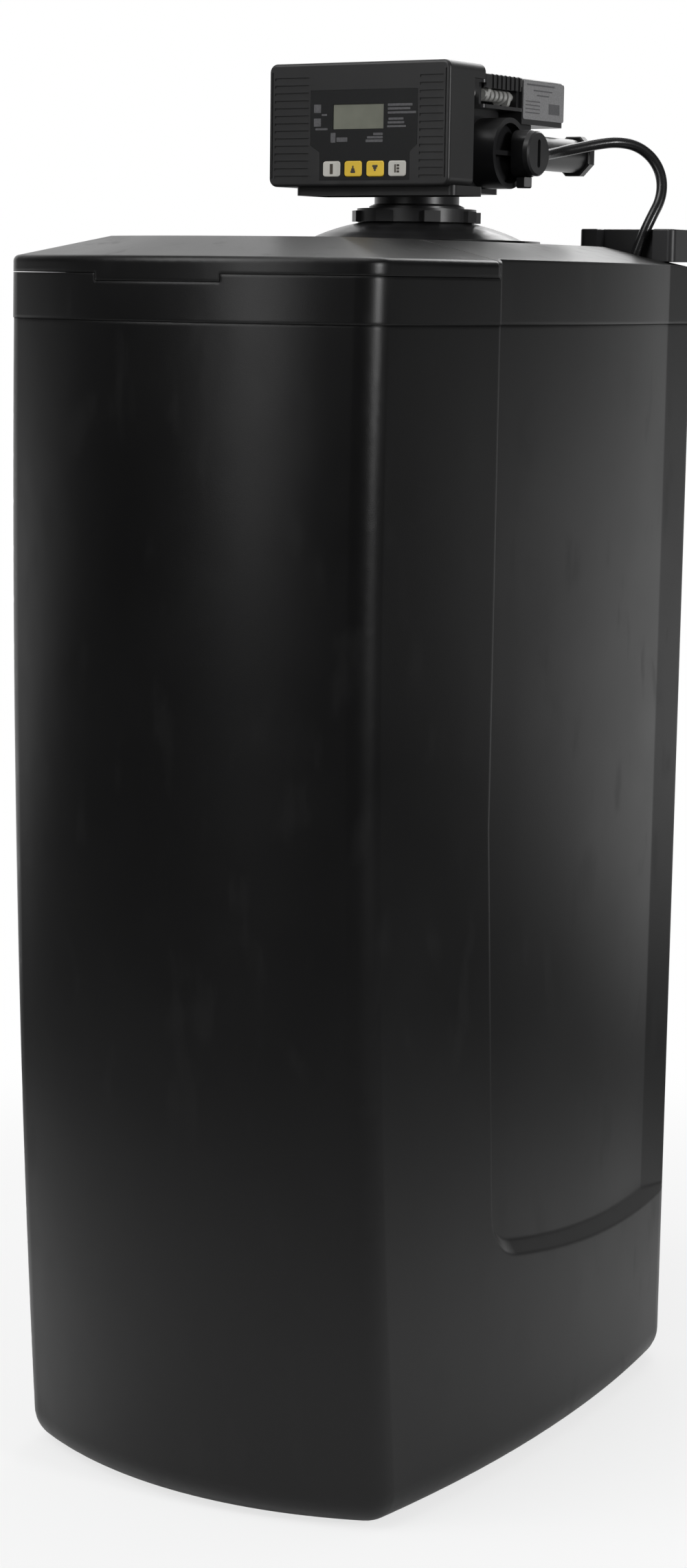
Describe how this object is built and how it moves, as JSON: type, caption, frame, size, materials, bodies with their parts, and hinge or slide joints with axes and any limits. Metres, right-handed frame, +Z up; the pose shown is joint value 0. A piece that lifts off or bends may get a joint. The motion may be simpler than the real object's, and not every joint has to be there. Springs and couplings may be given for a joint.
{
  "type": "cabinet water softener",
  "caption": "Tall black cabinet water softener with a hinged salt lid, a resin vessel inside, a metered control valve with a keyed electronic head, and a brine tube to its brine well.",
  "frame": {"origin": "on the floor, below the middle of the softener's box, measured without the brine tube", "axes": "+Z up, the salt lid and the head's face towards -Y, +X to the right as seen from the front"},
  "size_m": [0.402, 0.6142, 1.1695],
  "materials": {
    "cabinet_black": "blow-moulded polyethylene, satin",
    "cover_black": "moulded satin black",
    "cap_black": "moulded semi-gloss black",
    "fitting_black": "moulded",
    "steel_pin": "drawn steel",
    "well_white": "extruded, satin",
    "float_grey": "foamed, matte",
    "grid_black": "moulded",
    "boot_black": "moulded",
    "vessel_black": "wound glass fibre, black resin",
    "resin_amber": "fine beads",
    "basket_grey": "slotted, satin",
    "valve_grey_black": "glass-filled, satin",
    "valve_black": "glass-filled, semi-gloss",
    "nut_black": "glass-filled, semi-gloss",
    "tube_black": "polyethylene tube, glossy",
    "cam_light": "acetal, satin",
    "gear_white": "acetal, satin",
    "flapper_black": "moulded",
    "motor_steel": "zinc-plated can",
    "head_black": "moulded, fine texture",
    "panel_grey": "printed polyester sheet",
    "screen_green": "liquid-crystal window, grey-green",
    "board_green": "solder-masked board",
    "key_white": "moulded, satin white",
    "key_yellow": "moulded, satin yellow",
    "plate_grey": "data plate without text, metallised film",
    "plate_ink": "plain dark bars on the data plate",
    "legend_grey": "plain grey bars on the panel",
    "mark_dark": "plain marks on the keys"
  },
  "bodies": {
    "base": {"cabinet_shell": "cabinet_black", "overflow_elbow": "fitting_black", "overflow_nut": "fitting_black", "top_cover": "cover_black", "hinge_pin": "steel_pin", "brine_well_cap": "cap_black", "brine_well": "well_white", "safety_valve": "well_white", "pickup_tube": "well_white", "air_check": "well_white", "salt_grid": "grid_black", "vessel_boot": "boot_black", "resin_vessel": "vessel_black", "resin_bed": "resin_amber", "riser_tube": "well_white", "lower_distributor": "basket_grey", "upper_basket": "basket_grey", "tank_ring": "valve_grey_black", "valve_body": "valve_black", "injector_boss": "valve_black", "filter_cap": "valve_grey_black", "drain_plug": "valve_black", "brine_fitting": "valve_black", "brine_nut": "valve_black", "brine_tube": "tube_black", "pipe_adaptor_left": "valve_black", "pipe_adaptor_right": "valve_black", "union_nut_left": "nut_black", "union_nut_right": "nut_black", "drain_fitting": "valve_black", "valve_top_plate": "valve_grey_black", "cam_cover": "valve_grey_black", "cover_screws": "steel_pin", "flapper_rod": "steel_pin", "drive_motor": "motor_steel", "rear_box": "valve_black", "control_housing": "head_black", "control_bezel": "head_black", "display_panel": "panel_grey", "display_screen": "screen_green", "circuit_board": "board_green"},
    "lid": {"salt_lid": "cover_black"},
    "camshaft": {"camshaft": "cam_light", "drive_gear": "gear_white"},
    "pinion": {"motor_pinion": "gear_white"},
    "flapper_1": {"flapper_1": "flapper_black"},
    "flapper_2": {"flapper_2": "flapper_black"},
    "flapper_3": {"flapper_3": "flapper_black"},
    "flapper_4": {"flapper_4": "flapper_black"},
    "flapper_5": {"flapper_5": "flapper_black"},
    "flapper_6": {"flapper_6": "flapper_black"},
    "flapper_7": {"flapper_7": "flapper_black"},
    "float": {"brine_float": "float_grey"},
    "key_1": {"key_1": "key_white"},
    "key_2": {"key_2": "key_yellow"},
    "key_3": {"key_3": "key_yellow"},
    "key_4": {"key_4": "key_white"}
  },
  "joints": [
    {"name": "lid_hinge", "type": "hinge", "parent": "base", "child": "lid", "pos_m": [0, -0.1205, 1.018], "axis": [-1, 0, 0], "range_deg": [0, 98]},
    {"name": "camshaft_turn", "type": "hinge", "parent": "base", "child": "camshaft", "pos_m": [0.05, 0.1115, 1.149], "axis": [0, 1, 0], "continuous": true},
    {"name": "pinion_turn", "type": "hinge", "parent": "base", "child": "pinion", "pos_m": [0.0324, 0.016, 1.149], "axis": [0, 1, 0], "continuous": true},
    {"name": "flapper_1_rock", "type": "hinge", "parent": "base", "child": "flapper_1", "pos_m": [0.036, 0.09675, 1.146], "axis": [0, -1, 0], "range_deg": [0, 8], "stiffness_Nm_per_rad": 0.005, "springref_deg": -5.73},
    {"name": "flapper_2_rock", "type": "hinge", "parent": "base", "child": "flapper_2", "pos_m": [0.036, 0.10435, 1.146], "axis": [0, -1, 0], "range_deg": [0, 8], "stiffness_Nm_per_rad": 0.005, "springref_deg": -5.73},
    {"name": "flapper_3_rock", "type": "hinge", "parent": "base", "child": "flapper_3", "pos_m": [0.036, 0.11195, 1.146], "axis": [0, -1, 0], "range_deg": [0, 8], "stiffness_Nm_per_rad": 0.005, "springref_deg": -5.73},
    {"name": "flapper_4_rock", "type": "hinge", "parent": "base", "child": "flapper_4", "pos_m": [0.036, 0.11955, 1.146], "axis": [0, -1, 0], "range_deg": [0, 8], "stiffness_Nm_per_rad": 0.005, "springref_deg": -5.73},
    {"name": "flapper_5_rock", "type": "hinge", "parent": "base", "child": "flapper_5", "pos_m": [0.036, 0.12715, 1.146], "axis": [0, -1, 0], "range_deg": [0, 8], "stiffness_Nm_per_rad": 0.005, "springref_deg": -5.73},
    {"name": "flapper_6_rock", "type": "hinge", "parent": "base", "child": "flapper_6", "pos_m": [0.036, 0.13475, 1.146], "axis": [0, -1, 0], "range_deg": [0, 8], "stiffness_Nm_per_rad": 0.005, "springref_deg": -5.73},
    {"name": "flapper_7_rock", "type": "hinge", "parent": "base", "child": "flapper_7", "pos_m": [0.036, 0.14235, 1.146], "axis": [0, -1, 0], "range_deg": [0, 8], "stiffness_Nm_per_rad": 0.005, "springref_deg": -5.73},
    {"name": "float_rise", "type": "slide", "parent": "base", "child": "float", "axis": [0, 0, 1], "range_m": [0, 0.02]},
    {"name": "key_1_press", "type": "slide", "parent": "base", "child": "key_1", "axis": [0, 1, 0], "range_m": [0, 0.001], "stiffness_N_per_m": 400, "springref_m": -0.001},
    {"name": "key_2_press", "type": "slide", "parent": "base", "child": "key_2", "axis": [0, 1, 0], "range_m": [0, 0.001], "stiffness_N_per_m": 400, "springref_m": -0.001},
    {"name": "key_3_press", "type": "slide", "parent": "base", "child": "key_3", "axis": [0, 1, 0], "range_m": [0, 0.001], "stiffness_N_per_m": 400, "springref_m": -0.001},
    {"name": "key_4_press", "type": "slide", "parent": "base", "child": "key_4", "axis": [0, 1, 0], "range_m": [0, 0.001], "stiffness_N_per_m": 400, "springref_m": -0.001}
  ],
  "couplings": [
    {"joint": "pinion_turn", "follows": "camshaft_turn", "ratio": -2.6667}
  ]
}
